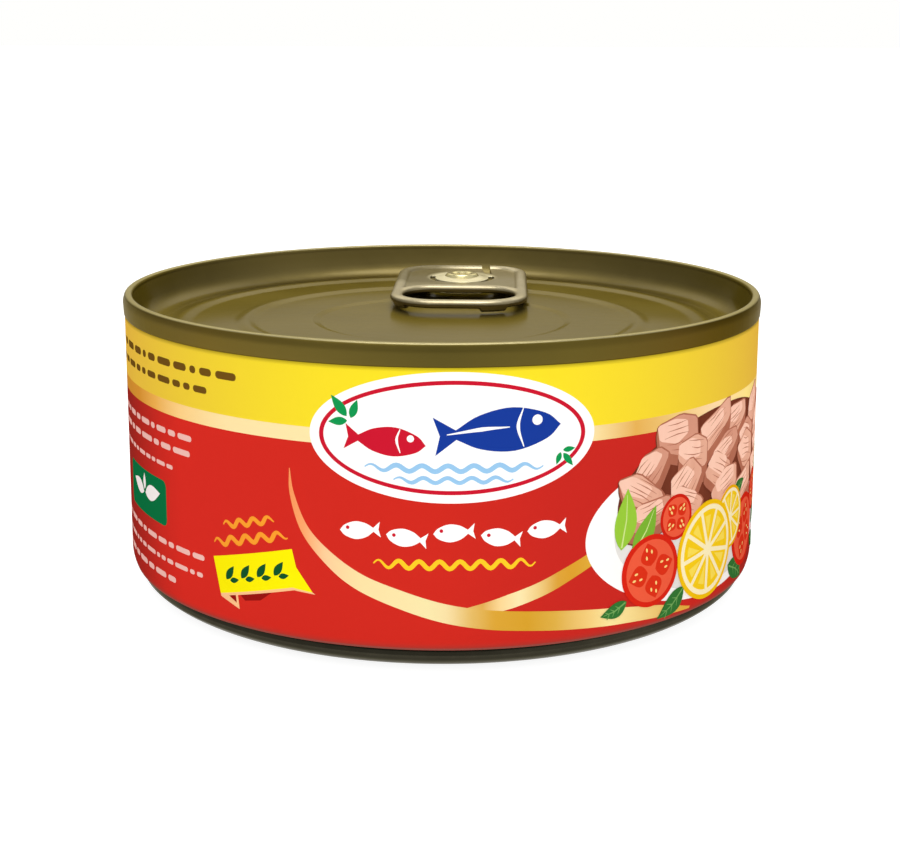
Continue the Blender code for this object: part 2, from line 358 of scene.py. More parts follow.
# Printed cream and gold round the wall, deepened towards the can's sides by painted shade.
gold_field = printed_gold("gold_field", ink_stops(
    (0.0, 170, 120, 44), (0.148, 200, 134, 46), (0.192, 224, 164, 76), (0.236, 240, 198, 128),
    (0.3, 243, 218, 160), (0.5, 246, 228, 170), (0.61, 242, 230, 188), (0.64, 236, 208, 146),
    (0.676, 220, 168, 82), (0.72, 228, 190, 116), (0.78, 240, 206, 158), (0.86, 240, 214, 130),
    (1.0, 170, 120, 44),
))
# The red margin on the print's turned-under edge is a paler pink-grey: a painted sheen.
# The yellow's deeper gold at the sides is partly a printed gradient and partly painted shade.
fields = [red_ground("red_field"), gold_field,
          printed_field("yellow_field", (244, 221, 38), (209, 162, 64)),
          bare_steel("bare_foot"), printed_field("red_margin_painted_sheen", (142, 72, 64), (150, 66, 58))]
for field in fields:
    can.data.materials.append(field)
for face in can.data.polygons:
    height = face.center.z / MM
    outside = hypot(face.center.x, face.center.y) / MM > WALL_RADIUS - PRINT_DEPTH
    if not outside or height < PRINT_FOOT:
        face.material_index = BARE
    elif height < MARGIN_TOP:
        face.material_index = MARGIN
    elif height > GOLD_TOP:
        face.material_index = YELLOW
    elif height > RED_TOP:
        face.material_index = GOLD
    else:
        face.material_index = RED
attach(can, "root")
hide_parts("can_body")

# The gold ribbons
# Litho inks laid on the flat sheet before it is drawn. Each ink here is a thin closed layer, cut
# flat, rolled round the wall in narrow strips, and repeated half-way round the can.
STRIP = 2 * pi * WALL_RADIUS / ROUND_STEPS
INK = 0.0045
INK_SUNK = 0.012
DRAWN_WIDTH = 0.985
DRAWN_HEIGHT = 0.991
ARTWORK_FOOT = 0.82
# How much painted shade deepens each plain ink at the can's sides.
SIDE_SHADE = (0.86, 0.82, 0.82)


def smooth_line(points, steps=8):
    """Points along a smooth line through the given places (Catmull-Rom)."""
    places = [Vector(point) for point in points]
    ends = [places[0] * 2 - places[1], *places, places[-1] * 2 - places[-2]]
    line = []
    for a, b, c, d in zip(ends, ends[1:], ends[2:], ends[3:]):
        for k in range(steps):
            t = k / steps
            pull = (c - a) * t + (a * 2 - b * 5 + c * 4 - d) * t * t + (b * 3 - a - c * 3 + d) * t ** 3
            line.append(b + pull / 2)
    return line + [places[-1]]


def ribbon(line, widths):
    """The outline of a ribbon along a line, its width run evenly through the given widths."""
    left, right = [], []
    last = len(line) - 1
    for k, place in enumerate(line):
        ahead = Vector(line[min(k + 1, last)]) - Vector(line[max(k - 1, 0)])
        across = Vector((-ahead.y, ahead.x)).normalized()
        spot = k / last * (len(widths) - 1)
        low = min(int(spot), len(widths) - 2)
        half = (widths[low] + (widths[low + 1] - widths[low]) * (spot - low)) / 2
        left.append(Vector(place) + across * half)
        right.append(Vector(place) - across * half)
    return left + right[::-1]


def curve_mesh(name, lines, closed=True, depth=0.0, bevel=0.0, fill="FULL"):
    """A curve object through lines of places (millimetres), made a mesh with its loose caps welded."""
    curve = bpy.data.curves.new(name, "CURVE")
    curve.dimensions = "2D" if fill == "BOTH" else "3D"
    curve.fill_mode = fill
    curve.extrude = depth * MM
    curve.bevel_depth = bevel * MM
    curve.bevel_resolution = 6
    curve.use_fill_caps = not closed
    for line in lines:
        spline = curve.splines.new("POLY")
        spline.points.add(len(line) - 1)
        for point, place in zip(spline.points, line):
            height = place[2] if len(place) > 2 else 0
            point.co = (place[0] * MM, place[1] * MM, height * MM, 1)
        spline.use_cyclic_u = closed
    piece = bpy.data.objects.new(name, curve)
    bpy.context.scene.collection.objects.link(piece)
    bpy.ops.object.select_all(action="DESELECT")
    bpy.context.view_layer.objects.active = piece
    piece.select_set(True)
    bpy.ops.object.convert(target="MESH")
    bpy.ops.object.mode_set(mode="EDIT")
    bpy.ops.mesh.select_all(action="SELECT")
    bpy.ops.mesh.remove_doubles(threshold=WELD)
    bpy.ops.mesh.normals_make_consistent(inside=False)
    bpy.ops.object.mode_set(mode="OBJECT")
    return bpy.context.object


def joined(name, pieces):
    bpy.ops.object.select_all(action="DESELECT")
    for piece in pieces:
        piece.select_set(True)
    bpy.context.view_layer.objects.active = pieces[0]
    bpy.ops.object.join()
    bpy.context.object.name = name
    return bpy.context.object


def wall_line(height):
    """The wall's radius at a height (millimetres), and the shares of an ink's thickness that point
    outwards and down there."""
    if height > CORNER_RADIUS:
        return WALL_RADIUS, 1, 0
    for k in range(0, PRINT_TURN, CORNER_STEP):
        upper, lower = corner_place(k), corner_place(k + CORNER_STEP)
        if height >= lower[1]:
            share = (upper[1] - height) / (upper[1] - lower[1])
            turn = radians(k + CORNER_STEP * share)
            return upper[0] + (lower[0] - upper[0]) * share, cos(turn), sin(turn)
    turn = radians(PRINT_TURN)
    return corner_place(PRINT_TURN)[0], cos(turn), sin(turn)


def inked(name, layers):
    """Prints layers of (ink number from the metal outwards, finish, outlines) on the wall, front and back."""
    sheets = []
    for number, finish, outlines in layers:
        front = number * INK
        sheet = curve_mesh(name, outlines, depth=(front + INK_SUNK) / 2, fill="BOTH")
        sheet.location.z = (front - INK_SUNK) / 2 * MM
        sheet.data.materials.append(finish)
        sheets.append(sheet)
    piece = joined(name, sheets)
    bpy.ops.object.transform_apply()
    piece.scale = (DRAWN_WIDTH, DRAWN_HEIGHT, 1)
    piece.location.y = ARTWORK_FOOT * MM
    bpy.ops.object.transform_apply()
    across = [point.co.x / MM for point in piece.data.vertices]
    strips = range(ceil(min(across) / STRIP), ceil(max(across) / STRIP))
    cuts = [((k * STRIP * MM, 0, 0), (1, 0, 0)) for k in strips]
    if min(point.co.y for point in piece.data.vertices) < CORNER_RADIUS * MM:
        turns = range(0, PRINT_TURN, CORNER_STEP)
        cuts += [((0, corner_place(turn)[1] * MM, 0), (0, 1, 0)) for turn in turns]
    bpy.ops.object.mode_set(mode="EDIT")
    for place, way in cuts:
        bpy.ops.mesh.select_all(action="SELECT")
        bpy.ops.mesh.bisect(plane_co=place, plane_no=way, threshold=1e-7)
    bpy.ops.object.mode_set(mode="OBJECT")
    half = pi / ROUND_STEPS
    for point in piece.data.vertices:
        turn = point.co.x / (WALL_RADIUS * MM)
        into = turn % (2 * half) - half
        radius, outwards, down = wall_line(point.co.y / MM)
        out = (radius * MM + point.co.z * outwards) * cos(half) / cos(into)
        point.co = (out * sin(turn), -out * cos(turn), point.co.y - point.co.z * down)
    bpy.ops.object.mode_set(mode="EDIT")
    bpy.ops.mesh.select_all(action="SELECT")
    bpy.ops.mesh.duplicate()
    bpy.ops.transform.rotate(value=pi, orient_axis="Z", center_override=(0, 0, 0))
    bpy.ops.mesh.select_all(action="SELECT")
    bpy.ops.mesh.normals_make_consistent(inside=False)
    bpy.ops.object.mode_set(mode="OBJECT")
    settle(piece, sharp=40)
    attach(piece, "root")


def plain_ink(name, *colour):
    """One flat litho ink under the can's varnish, with painted shade that deepens it a little towards the
    can's sides.
    """
    return printed_field(name, colour, [value * shade for value, shade in zip(colour, SIDE_SHADE)])


low_ribbon = smooth_line([(-18.5, 23.6), (-18.2, 20.5), (-16.6, 16.4), (-13.6, 13.2), (-9.8, 10.6),
                          (-4.6, 8.6), (0.4, 7.1), (5.6, 6.2), (12.0, 5.6), (18.0, 5.1), (24.0, 4.6),
                          (30.0, 3.9), (35.0, 3.1)])
low_widths = [0.1, 0.7, 1.3, 1.9, 2.2, 2.3, 2.4, 2.4, 2.2, 1.6, 0.3]
low_gold = printed_gold("gold_ribbon_ink", ink_stops(
    (0.36, 236, 140, 80), (0.38, 244, 160, 104), (0.4, 244, 200, 150), (0.43, 244, 218, 160),
    (0.49, 240, 224, 167), (0.505, 239, 216, 160), (0.525, 222, 182, 100), (0.545, 213, 160, 54),
    (0.575, 208, 155, 44), (0.6, 214, 168, 68), (0.63, 233, 196, 118), (0.655, 241, 220, 152),
    (0.74, 214, 160, 60),
))
high_ribbon = smooth_line([(2.6, 7.0), (7.0, 8.0), (11.8, 9.5), (15.6, 11.2), (19.6, 13.2), (23.0, 15.4)])
high_widths = [1.2, 1.8, 1.8, 1.6, 1.5]
high_gold = printed_gold("gold_ribbon_under", ink_stops(
    (0.515, 226, 190, 116), (0.535, 217, 166, 80), (0.55, 240, 206, 142), (0.567, 243, 224, 170),
    (0.585, 230, 196, 125), (0.6, 212, 157, 58), (0.615, 211, 152, 44), (0.64, 214, 166, 60),
))
inked("printed_ribbons", [
    (2, low_gold, [ribbon(low_ribbon, low_widths)]),
    (1, high_gold, [ribbon(high_ribbon, high_widths)]),
])

# The white plaque
# An oval of opaque white ink across the yellow and the red, with a keyline, two swimming fish,
# water and a sprig at each end.


def oval(x, y, rx, ry, steps):
    turns = [2 * pi * k / steps for k in range(steps)]
    return [(x + rx * cos(turn), y + ry * sin(turn)) for turn in turns]


def set_down(outline, x, y, turn=0.0, size=1.0):
    """An outline drawn about the origin, scaled, turned in degrees and put at its place."""
    c, s = cos(radians(turn)) * size, sin(radians(turn)) * size
    return [(x + c * a - s * b, y + s * a + c * b) for a, b in outline]


LEAF_STEPS = 12
WAVE_STEPS = 12


def leaf(length, width, lean=0.0):
    """A leaf from the origin along +X, fullest before its middle."""
    shares = [k / LEAF_STEPS for k in range(LEAF_STEPS + 1)]
    across = [width / 2 * sin(pi * share ** 0.8) for share in shares]
    along = [length * share for share in shares]
    middle = [lean * sin(pi * share) for share in shares]
    upper = [(x, m + w) for x, m, w in zip(along, middle, across)]
    lower = [(x, m - w) for x, m, w in zip(along, middle, across)]
    return upper + lower[-2:0:-1]


def fish(length, deep):
    """A fish that swims towards +X: a deep round body and a forked tail, in one outline."""
    back = smooth_line([(0.5, 0.0), (0.38, 0.19), (0.12, 0.32), (-0.14, 0.25), (-0.33, 0.07)], 5)
    tail = [(-0.5, 0.27), (-0.455, 0.0), (-0.5, -0.27)]
    belly = [(a, -b * 0.92) for a, b in back[::-1]]
    return [(a * length, b * deep) for a, b in [*back, *tail, *belly[:-1]]]


def waves(left, right, y, height, pitch, thick):
    """A long wavy stripe."""
    steps = ceil((right - left) / pitch * WAVE_STEPS)
    line = []
    for k in range(steps + 1):
        x = left + (right - left) * k / steps
        line.append((x, y + height / 2 * sin(2 * pi * (x - left) / pitch)))
    return ribbon(line, [0.15, thick, thick, thick, thick, thick, 0.15])


def sprig(x, y, turn, size):
    """Three leaves that spread from one place."""
    leaves = [set_down(leaf(3.4, 1.3), 0.2, 0.0, 0), set_down(leaf(2.6, 1.1), -0.3, 0.3, 58)]
    leaves += [set_down(leaf(2.6, 1.1), -0.3, -0.3, -58)]
    return [set_down(outline, x, y, turn, size) for outline in leaves]


white_ink = plain_ink("white_ink", 253, 253, 250)
blue_ink = plain_ink("blue_ink", 26, 58, 150)
crimson_ink = plain_ink("crimson_ink", 200, 26, 48)
green_ink = plain_ink("green_ink", 22, 148, 78)
water_ink = plain_ink("water_ink", 150, 196, 232)
big_fish = set_down(fish(15.0, 8.4), 6.6, 28.9, 4)
small_fish = set_down(fish(9.6, 5.6), -6.6, 27.7, -5)
fish_marks = [oval(11.2, 30.1, 0.62, 0.62, 24), oval(-3.6, 28.1, 0.42, 0.42, 20)]
fish_marks += [ribbon(smooth_line([(9.5, 31.6), (8.9, 29.4), (9.6, 27.0)]), [0.1, 0.42, 0.1])]
fish_marks += [ribbon(smooth_line([(7.9, 29.4), (4.6, 29.2), (0.6, 28.6)]), [0.1, 0.5, 0.1])]
fish_marks += [ribbon(smooth_line([(-4.8, 29.2), (-5.2, 27.9), (-4.8, 26.4)]), [0.1, 0.32, 0.1])]
inked("printed_plaque", [
    (2, white_ink, [oval(1.35, 28.2, 17.1, 7.75, 128)]),
    (3, crimson_ink, [oval(1.35, 28.2, 15.9, 6.75, 128), oval(1.35, 28.2, 15.35, 6.25, 128)]),
    (3, water_ink, [waves(-9.0, 12.0, 24.6, 0.7, 3.0, 0.6), waves(-5.6, 8.4, 23.2, 0.6, 2.8, 0.5)]),
    (4, blue_ink, [big_fish]),
    (4, crimson_ink, [small_fish]),
    (4, green_ink, sprig(-11.0, 30.3, 128, 0.9) + sprig(14.4, 26.0, -52, 0.6)),
    (5, white_ink, fish_marks),
])

# The school of fish and the wavy stripe
# A row of small white fish that swim to the left and, under it, a fine yellow wavy stripe, both
# printed straight on the red ground.
SCHOOL_PITCH = 5.55
school, school_eyes = [], []
for k in range(5):
    sway = (-1) ** k
    school.append(set_down(fish(4.9, 3.5), -9.6 + SCHOOL_PITCH * k, 16.6 + 0.35 * sway, 178 + 6 * sway))
    school_eyes.append(oval(-11.1 + SCHOOL_PITCH * k, 16.85 + 0.3 * sway, 0.22, 0.22, 16))
stripe_yellow = plain_ink("stripe_yellow_ink", 250, 200, 40)
inked("printed_borders", [
    (1, white_ink, school),
    (2, crimson_ink, school_eyes),
    (1, stripe_yellow, [waves(-8.0, 11.2, 13.0, 0.9, 2.4, 0.55)]),
])

# The yellow banner and the small side prints
# A tilted banner with a folded end and its shadow, two wavy stripes over it, a green tablet with
# leaves, and rows of plain rounded bars.
TILT = 14.0
BANNER_PLACE = (-23.8, 10.0, TILT)
BARS_LEFT = -66
TABLET_BEND = 0.9


def bar(left, right, y, height):
    """A bar with round ends."""
    half = height / 2
    caps = [radians(36 * k - 90) for k in range(6)]
    outline = [(right - half + half * cos(a), y + half * sin(a)) for a in caps]
    return outline + [(left + half - half * cos(a), y + half * sin(a)) for a in caps[::-1]]


def rows_of_bars(*rows):
    """Bars from rows of (right end, height up the wall, bar height, bar lengths in turn)."""
    outlines = []
    for right, y, height, lengths in rows:
        turn = 0
        while right - lengths[turn % len(lengths)] > BARS_LEFT:
            length = lengths[turn % len(lengths)]
            outlines.append(bar(right - length, right, y, height))
            right -= length + height * 0.75
            turn += 1
    return outlines


def on_banner(*outline):
    """An outline drawn about the banner's middle, put at the banner's place."""
    return set_down(outline, *BANNER_PLACE)


banner = on_banner((-6.3, -2.4), (5.0, -2.4), (7.6, -3.3), (6.2, 0.0), (6.2, 2.25), (-6.3, 2.25))
banner_edge = on_banner((-6.3, -2.75), (5.2, -2.75), (7.9, -3.6), (7.6, -3.3), (5.0, -2.4), (-6.3, -2.4))
banner_tail = on_banner((-6.3, -2.75), (-3.4, -2.75), (-3.6, -4.5))
banner_fold = on_banner((-4.9, -2.75), (-3.75, -2.75), (-3.85, -3.7))
banner_shade = on_banner((-3.0, -2.75), (2.0, -2.75), (0.0, -3.6), (-2.4, -3.5))
leaf_row = []
for k in range(4):
    leaf_row.append(on_banner(*set_down(leaf(2.3, 1.0), -4.8 + 2.55 * k, -0.7, 42)))
    leaf_row.append(on_banner(*set_down(leaf(1.5, 0.7), -4.2 + 2.55 * k, -0.9, 0)))
stripes = [set_down(waves(-3.9, 4.1, 0, 0.8, 2.2, 0.55), -24.8, 16.0, TILT)]
stripes += [set_down(waves(-5.9, 5.7, 0, 0.9, 2.4, 0.6), -24.5, 13.95, TILT)]
tablet = []
for x, y, start in ((-41.4, 17.1, 0), (-53.8, 17.1, 90), (-53.8, 12.9, 180), (-41.4, 12.9, 270)):
    turns = [radians(start + 22.5 * k) for k in range(5)]
    tablet += [(x + TABLET_BEND * cos(turn), y + TABLET_BEND * sin(turn)) for turn in turns]
tablet_leaves = [set_down(leaf(5.2, 2.1), -47.4, 14.9, 12), set_down(leaf(4.6, 1.9), -48.0, 14.9, 168)]
tablet_leaves += [set_down(leaf(2.2, 1.0), -47.7, 15.3, 90)]
brown_bars = rows_of_bars(
    (-26.0, 33.6, 0.95, (3.4, 2.2, 1.2, 2.8)),
    (-31.0, 31.3, 0.85, (2.6, 1.4, 1.8, 3.2)),
)
white_bars = rows_of_bars(
    (-34.2, 24.7, 0.75, (3.0, 1.8, 2.6, 1.2)),
    (-34.6, 22.7, 0.75, (3.8, 2.6, 1.6)),
    (-38.6, 20.2, 0.55, (1.6, 2.4, 1.2)),
    (-32.2, 9.9, 0.7, (2.4, 3.2, 1.4)),
    (-32.6, 7.6, 0.6, (1.2, 1.0, 3.0, 1.6)),
    (-38.6, 5.4, 0.75, (2.0, 3.2)),
)
banner_yellow = plain_ink("banner_yellow_ink", 252, 240, 10)
pale_edge = plain_ink("banner_edge_ink", 252, 196, 140)
shade_ink = plain_ink("shadow_red_ink", 150, 22, 20)
orange_ink = plain_ink("orange_ink", 248, 160, 48)
leaf_dark = plain_ink("dark_green_ink", 20, 84, 44)
brown_ink = plain_ink("brown_ink", 112, 80, 26)
pink_ink = plain_ink("small_mark_ink", 246, 196, 186)
tablet_green = plain_ink("tablet_green_ink", 12, 118, 66)
inked("printed_banner", [
    (1, shade_ink, [banner_shade]),
    (2, banner_yellow, [banner]),
    (2, pale_edge, [banner_edge, banner_tail]),
    (3, shade_ink, [banner_fold]),
    (3, leaf_dark, leaf_row),
    (2, orange_ink, stripes),
])
inked("printed_small_marks", [
    (1, brown_ink, brown_bars),
    (1, pink_ink, white_bars),
    (1, tablet_green, [tablet]),
    (2, white_ink, tablet_leaves),
])

# The printed dish
# A plate of flaked fish with slices of lemon and tomato and leaves. Like the other prints it is
# flat litho ink, here in many thin layers from the plate outwards.
flesh_random = Random(11)
BLUNT = 0.12
LEMON_SEGMENTS = 9


def flesh_ink(name, light, dark, turn):
    """Pink fish flesh printed with its fine parallel fibres."""
    finish = Finish(name, **VARNISH)
    fibres = finish.mottle(700, 4, (1, 1, 0.14), turn)
    cloud = finish.mottle(260, 3)
    colour = finish.mixed(fibres * 0.6 + cloud * 0.4, ink(*dark), ink(*light))
    finish.varies(Base_Color=colour, Normal=finish.orange_peel())
    return finish.material


def around(places):
    """The smallest outline, without hollows, that holds all the places."""
    ordered = sorted((place[0], place[1]) for place in places)
    sides = []
    for run in (ordered, ordered[::-1]):
        side = []
        for x, y in run:
            while len(side) > 1:
                (a, b), (c, d) = side[-2:]
                if (c - a) * (y - b) > (d - b) * (x - a):
                    break
                side.pop()
            side.append((x, y))
        sides += side[:-1]
    return sides


def blunted(outline):
    """An outline with its corners cut off."""
    cut = []
    for a, b in zip(outline, outline[1:] + outline[:1]):
        cut += [(a[0] + (b[0] - a[0]) * s, a[1] + (b[1] - a[1]) * s) for s in (BLUNT, 1 - BLUNT)]
    return cut


def chunk(x, y, long, deep, turn, drop):
    """A broken chunk of fish: its whole outline, its side, its top, the light on its top, and its fibres."""
    corners = flesh_random.choice((4, 5, 5, 6))
    top = []
    for k in range(corners):
        angle = 2 * pi * (k + 0.5 + flesh_random.uniform(-0.2, 0.2)) / corners
        reach = flesh_random.uniform(0.9, 1.12)
        top.append((long / 2 * reach * cos(angle), deep / 2 * reach * sin(angle)))
    top = set_down(around(top), x, y, turn)
    sink = Vector((flesh_random.uniform(-0.5, 0.7), -drop))
    below = [tuple(Vector(place) + sink) for place in top]
    whole = around(top + below)
    side = set_down(whole, 0.12, 0.16)
    corner = max(top, key=lambda place: place[1] - 0.6 * place[0])
    light = [(corner[0] + (a - corner[0]) * 0.74, corner[1] + (b - corner[1]) * 0.6) for a, b in top]
    fibres = []
    for k in range(5):
        across = deep * (0.15 * k - 0.3)
        reach = long * (0.34 - 0.05 * abs(k - 2)) * flesh_random.uniform(0.6, 1.0)
        start = flesh_random.uniform(-0.6, 0.6)
        wander = flesh_random.uniform(-0.25, 0.25)
        line = smooth_line([(start - reach, across), (start, across + wander), (start + reach, across)], 2)
        fibres.append(set_down(ribbon(line, [0.03, 0.13, 0.03]), x, y, turn))
    return blunted(whole), blunted(side), blunted(top), blunted(light), fibres


plate = [(x, y) for x, y in oval(40.2, 14.6, 22.6, 10.6, 128) if y > 3.0]
plate_shade = [(x, y) for x, y in oval(41.5, 14.6, 19.9, 9.4, 96) if y > 3.2]
heap = smooth_line([(22.0, 15.0), (22.2, 19.6), (24.8, 23.0), (28.2, 25.4), (33.0, 27.0), (39.0, 28.0),
                    (46.0, 28.0), (52.0, 26.8), (57.2, 24.4), (60.4, 20.6), (61.0, 15.0)], 4)
LIGHT, MID, SIDE, DEEP, GLOW = range(5)
flesh_inks = [flesh_ink("flesh_light_ink", (230, 178, 154), (204, 144, 120), 0.2),
              flesh_ink("flesh_mid_ink", (216, 158, 134), (188, 124, 102), -0.3),
              flesh_ink("flesh_side_ink", (182, 114, 90), (148, 84, 64), 0.7),
              flesh_ink("flesh_deep_ink", (122, 60, 42), (88, 40, 26), 0.0),
              flesh_ink("flesh_glow_ink", (244, 204, 184), (228, 172, 148), 0.4)]
dish_layers = [(3, white_ink, [plate]), (4, plain_ink("plate_grey_ink", 228, 226, 222), [plate_shade]),
               (5, flesh_inks[DEEP], [heap])]
number = 6
chunk_rows = ((25.6, 31.5, 54, 4), (23.0, 26.5, 58, 5), (20.0, 25, 58.5, 5), (16.8, 26.5, 57.5, 5))
for y, left, right, count in chunk_rows:
    for k in range(count):
        x = left + (right - left) * k / (count - 1) + flesh_random.uniform(-0.9, 0.9)
        long, deep = flesh_random.uniform(7.0, 9.6), flesh_random.uniform(3.8, 5.4)
        turn = flesh_random.uniform(-38, 52)
        tone = flesh_random.choice((LIGHT, LIGHT, MID))
        height = y + flesh_random.uniform(-0.7, 0.5)
        whole, side, top, light, fibres = chunk(x, height, long, deep, turn, flesh_random.uniform(1.2, 2.4))
        layer = number + 1.5 * (k % 2)
        dish_layers += [(layer, flesh_inks[DEEP], [whole]), (layer + 0.3, flesh_inks[SIDE], [side]),
                        (layer + 0.6, flesh_inks[tone], [top]), (layer + 0.9, flesh_inks[GLOW], [light]),
                        (layer + 1.2, flesh_inks[SIDE], fibres)]
    number += 3
tomatoes = [(27.4, 9.6, 4.6, 12), (50.6, 9.4, 4.9, -20), (31.6, 15.6, 2.9, 40), (56.6, 13.4, 2.9, 5)]
slices, flesh, cells, seeds = [], [], [], []
for x, y, size, turn in tomatoes:
    slices.append(oval(x, y, size, size, 48))
    flesh.append(oval(x, y, size * 0.86, size * 0.86, 40))
    for k in range(4):
        cell = set_down(leaf(size * 0.66, size * 0.6), size * 0.14, 0)
        cells.append(set_down(cell, x, y, turn + 90 * k))
        for along, across in ((0.4, 0.1), (0.52, -0.1), (0.62, 0.06)):
            seed = oval(size * along, size * across, 0.27, 0.15, 10)
            seeds.append(set_down(seed, x, y, turn + 90 * k))
herbs = ((33.4, 6.2, 214, 5.6), (44.6, 6.0, -28, 6.2), (57.4, 8.2, 50, 5.4), (56.2, 6.6, -30, 4.6),
         (45.4, 14.6, 24, 4.8), (23.6, 6.4, 200, 4.0))
green_leaves, veins, ribs, pale_leaves, pale_veins = [], [], [], [], []
for x, y, turn, long in herbs:
    green_leaves.append(set_down(leaf(long, long * 0.46, 0.3), x, y, turn))
    vein = ribbon([(0.2, 0), (long * 0.5, 0.28), (long * 0.9, 0.05)], [0.22, 0.16, 0.05])
    veins.append(set_down(vein, x, y, turn))
    for share in (0.3, 0.5, 0.7):
        for way in (1, -1):
            rib = [(long * share, 0.25), (long * (share + 0.12), 0.25 + way * long * 0.13)]
            ribs.append(set_down(ribbon(rib, [0.14, 0.05]), x, y, turn))
for x, y, turn, long in ((22.6, 13.0, 84, 7.6), (24.4, 12.2, 58, 6.6), (60.0, 12.4, 98, 7.0)):
    pale_leaves.append(set_down(leaf(long, long * 0.42, -0.3), x, y, turn))
    vein = ribbon([(0.3, 0), (long * 0.5, -0.28), (long * 0.9, 0)], [0.24, 0.16, 0.06])
    pale_veins.append(set_down(vein, x, y, turn))
herb_vein_ink = plain_ink("herb_vein_ink", 116, 168, 92)
dish_layers += [
    (number, plain_ink("salad_ink", 150, 200, 60), [pale_leaves[0]]),
    (number + 1, plain_ink("salad_deep_ink", 122, 178, 52), pale_leaves[1:]),
    (number + 2, plain_ink("salad_vein_ink", 206, 228, 140), pale_veins),
    (number + 2, plain_ink("herb_ink", 52, 116, 52), green_leaves),
    (number + 2.4, herb_vein_ink, ribs),
    (number + 2.7, herb_vein_ink, veins),
    (number + 3, plain_ink("tomato_skin_ink", 206, 34, 20), slices[2:]),
    (number + 4, plain_ink("tomato_skin_front_ink", 214, 38, 22), slices[:2]),
    (number + 5, plain_ink("tomato_flesh_ink", 236, 92, 62), flesh),
    (number + 6, plain_ink("tomato_cell_ink", 218, 50, 26), cells),
    (number + 7, plain_ink("tomato_seed_ink", 250, 214, 130), seeds),
]


def fruit_segment(tip, reach, opening):
    """One segment of a cut fruit that points to the right: a wedge with a round outer side."""
    turns = [radians(opening * (k / 6 - 0.5)) for k in range(7)]
    return [(tip, 0), *[(reach * cos(turn), reach * sin(turn)) for turn in turns]]


pith_ink = plain_ink("lemon_pith_ink", 254, 244, 196)
lemon_flesh_ink = plain_ink("lemon_flesh_ink", 248, 208, 28)
lemon_light_ink = plain_ink("lemon_light_ink", 252, 226, 88)
back_peel = plain_ink("lemon_peel_back_ink", 236, 178, 14)
front_peel = plain_ink("lemon_peel_ink", 244, 196, 16)
lemons = ((44.6, 12.6, 4.2, -14, back_peel, number + 8), (38.4, 9.9, 6.4, 8, front_peel, number + 10.5))
for x, y, size, turn, peel, low in lemons:
    segments, lights = [], []
    for k in range(LEMON_SEGMENTS):
        way = turn + 360 / LEMON_SEGMENTS * k
        segments.append(set_down(fruit_segment(size * 0.13, size * 0.81, 34), x, y, way))
        lights.append(set_down(fruit_segment(size * 0.3, size * 0.7, 17), x, y, way + 4))
    dish_layers += [(low, peel, [oval(x, y, size, size, 56)]),
                    (low + 0.5, pith_ink, [oval(x, y, size * 0.91, size * 0.91, 48)]),
                    (low + 1, lemon_flesh_ink, segments), (low + 1.5, lemon_light_ink, lights)]
inked("printed_dish", dish_layers)

# The lid
# An easy-open end pressed from gold-lacquered tinplate: a beaded panel with a faint scored line near
# its edge, a soft fillet, a sloping chuck wall, and the double seam rolled over the can's rim.
SEAM_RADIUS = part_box("lid")[1].x / MM
PANEL = RIM - 4.8
SHEET = 0.25
CENTRE_STEP = 17.5
CENTRE_PANEL = PANEL - 0.25
SCORE = 38.62
CHUCK_FOOT = 40.95
SEAM_INSIDE = 42.4


def lacquer(name, light, dark, gloss):
    """Olive-gold mottled lacquer over rolled tinplate, with painted shade on the chuck wall and on the seam's
    outer face, and a painted highlight along the top of the seam."""
    tint = (0.62, 0.55, 0.36, 1)
    finish = Finish(name, Metallic=1.0, Coat_Roughness=0.14, Coat_IOR=1.45, Specular_Tint=tint)
    cloud = finish.mottle(90, 4)
    rolled = finish.mottle(260, 4, (1, 9, 1))
    colour = finish.mixed(cloud * 0.75 + rolled * 0.25, ink(*dark), ink(*light))
    # Painted shade on the seam's outer face, deepest right of each front.
    seam_face_painted_shade = finish.ramp(finish.round_the_wall(), ink_stops(
        (0.0, 84, 74, 52), (0.167, 92, 80, 52), (0.278, 108, 90, 38), (0.389, 102, 88, 37), (0.5, 87, 76, 31),
        (0.611, 96, 83, 32), (0.722, 91, 71, 24), (0.833, 64, 49, 16), (0.9, 70, 56, 24), (1.0, 84, 74, 52),
    ))
    away = (finish.place("X") * finish.place("X") + finish.place("Y") * finish.place("Y")) ** 0.5
    # Painted shade on the sloping chuck wall; the same mask also thins the coat there.
    chuck_wall_shade_mask = away.rise(CHUCK_FOOT - 0.15, CHUCK_FOOT + 1.1)
    colour = finish.mixed(chuck_wall_shade_mask * 0.35, colour, ink(75, 63, 22))
    outer = away.rise(SEAM_RADIUS - 0.5, SEAM_RADIUS - 0.25)
    colour = finish.mixed(outer * 0.85, colour, seam_face_painted_shade)
    # Painted highlight along the top of the seam.
    painted_crown_highlight = finish.place("Z").rise(RIM - 0.2, RIM - 0.06)
    colour = finish.mixed(painted_crown_highlight * 0.85, colour, ink(166, 157, 120))
    rough = cloud * 0.14 + rolled * 0.06 + gloss - painted_crown_highlight * 0.08
    relief = finish.bump(rolled, 0.006, finish.bump(finish.mottle(75, 3), 0.24))
    finish.varies(Base_Color=colour, Roughness=rough, Normal=relief, Coat_Weight=0.2 - chuck_wall_shade_mask * 0.17)
    return finish.material


